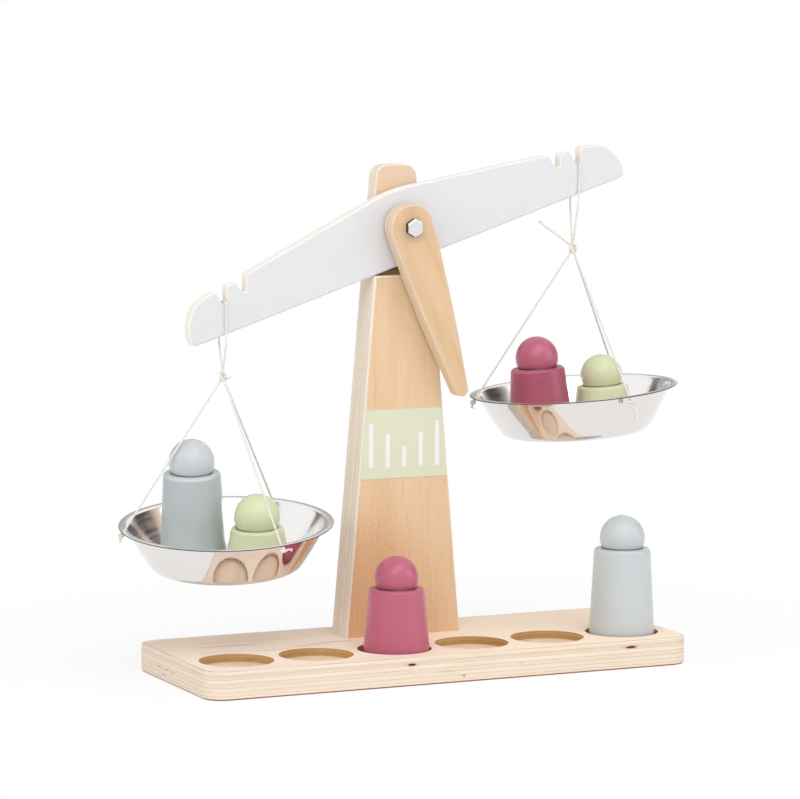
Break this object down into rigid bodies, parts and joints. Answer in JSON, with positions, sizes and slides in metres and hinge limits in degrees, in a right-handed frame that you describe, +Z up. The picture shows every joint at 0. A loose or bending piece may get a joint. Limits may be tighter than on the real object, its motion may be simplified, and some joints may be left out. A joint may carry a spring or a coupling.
{
  "type": "toy balance scale",
  "caption": "Wooden toy balance scale: a tilting beam with a pointer on a plywood post, two hanging metal pans, and turned weights in the pans and in base recesses.",
  "frame": {"origin": "middle of the base board's underside", "axes": "+X along the base board, to the right seen from the front; +Y from the front, with the recesses, to the back; +Z up"},
  "size_m": [0.3783, 0.1524, 0.3273],
  "materials": {
    "plywood": "sanded birch plywood, clear satin",
    "white_paint": "painted satin",
    "panel": "matte printed film",
    "panel_marks": "matte print",
    "zinc_steel": "zinc plated",
    "pan_steel": "polished",
    "cotton": "twisted cotton",
    "blue_grey_paint": "painted satin",
    "green_paint": "painted satin",
    "rose_paint": "painted satin"
  },
  "bodies": {
    "stand": {"base_board": "plywood", "back_board": "plywood", "front_board": "plywood", "scale_panel": "panel", "scale_marks": "panel_marks", "base_screws": "zinc_steel", "pivot_bolt": "zinc_steel", "beam_washer": "zinc_steel", "rear_washer": "zinc_steel", "lock_nut": "zinc_steel"},
    "beam": {"beam": "white_paint", "pointer": "plywood", "pointer_spacer": "plywood", "pointer_dowel": "plywood"},
    "left_hanger": {"left_loop": "cotton", "left_knot": "cotton"},
    "right_hanger": {"right_loop": "cotton", "right_knot": "cotton"},
    "left_pan": {"left_pan": "pan_steel", "left_pan_left_string": "cotton", "left_pan_front_string": "cotton", "left_pan_rear_string": "cotton", "left_pan_rim_knots": "cotton"},
    "right_pan": {"right_pan": "pan_steel", "right_pan_left_string": "cotton", "right_pan_front_string": "cotton", "right_pan_rear_string": "cotton", "right_pan_rim_knots": "cotton"},
    "left_tall_weight": {"left_tall_weight": "blue_grey_paint"},
    "left_small_weight": {"left_small_weight": "green_paint"},
    "right_medium_weight": {"right_medium_weight": "rose_paint"},
    "right_small_weight": {"right_small_weight": "green_paint"},
    "stored_medium_weight": {"stored_medium_weight": "rose_paint"},
    "stored_tall_weight": {"stored_tall_weight": "blue_grey_paint"}
  },
  "joints": [
    {"name": "beam_tilt", "type": "hinge", "parent": "stand", "child": "beam", "pos_m": [0, 0.0225, 0.279], "axis": [0, 1, 0], "range_deg": [0, 22]},
    {"name": "left_hang", "type": "hinge", "parent": "beam", "child": "left_hanger", "pos_m": [-0.12157, 0.0225, 0.23513], "axis": [0, 1, 0], "range_deg": [-22, 0]},
    {"name": "right_hang", "type": "hinge", "parent": "beam", "child": "right_hanger", "pos_m": [0.12362, 0.0225, 0.3167], "axis": [0, 1, 0], "range_deg": [-22, 0]},
    {"name": "left_pan_swing", "type": "hinge", "parent": "left_hanger", "child": "left_pan", "pos_m": [-0.12137, 0.0225, 0.18793], "axis": [1, 0, 0], "range_deg": [-10, 10]},
    {"name": "right_pan_swing", "type": "hinge", "parent": "right_hanger", "child": "right_pan", "pos_m": [0.12202, 0.0225, 0.2607], "axis": [1, 0, 0], "range_deg": [-10, 10]},
    {"name": "left_tall_weight_lift", "type": "slide", "parent": "left_pan", "child": "left_tall_weight", "axis": [-0.2333, -0.524, -0.8192], "range_m": [-0.034, 0]},
    {"name": "left_small_weight_lift", "type": "slide", "parent": "left_pan", "child": "left_small_weight", "axis": [-0.2432, 0.0885, -0.9659], "range_m": [-0.034, 0]},
    {"name": "right_medium_weight_lift", "type": "slide", "parent": "right_pan", "child": "right_medium_weight", "axis": [0.1282, -0.5142, -0.848], "range_m": [-0.034, 0]},
    {"name": "right_small_weight_lift", "type": "slide", "parent": "right_pan", "child": "right_small_weight", "axis": [-0.4162, 0.0734, -0.9063], "range_m": [-0.034, 0]},
    {"name": "stored_medium_weight_lift", "type": "slide", "parent": "stand", "child": "stored_medium_weight", "axis": [0, 0, -1], "range_m": [-0.008, 0]},
    {"name": "stored_tall_weight_lift", "type": "slide", "parent": "stand", "child": "stored_tall_weight", "axis": [0, 0, -1], "range_m": [-0.008, 0]}
  ],
  "couplings": [
    {"joint": "left_hang", "follows": "beam_tilt", "ratio": -1},
    {"joint": "right_hang", "follows": "beam_tilt", "ratio": -1}
  ]
}
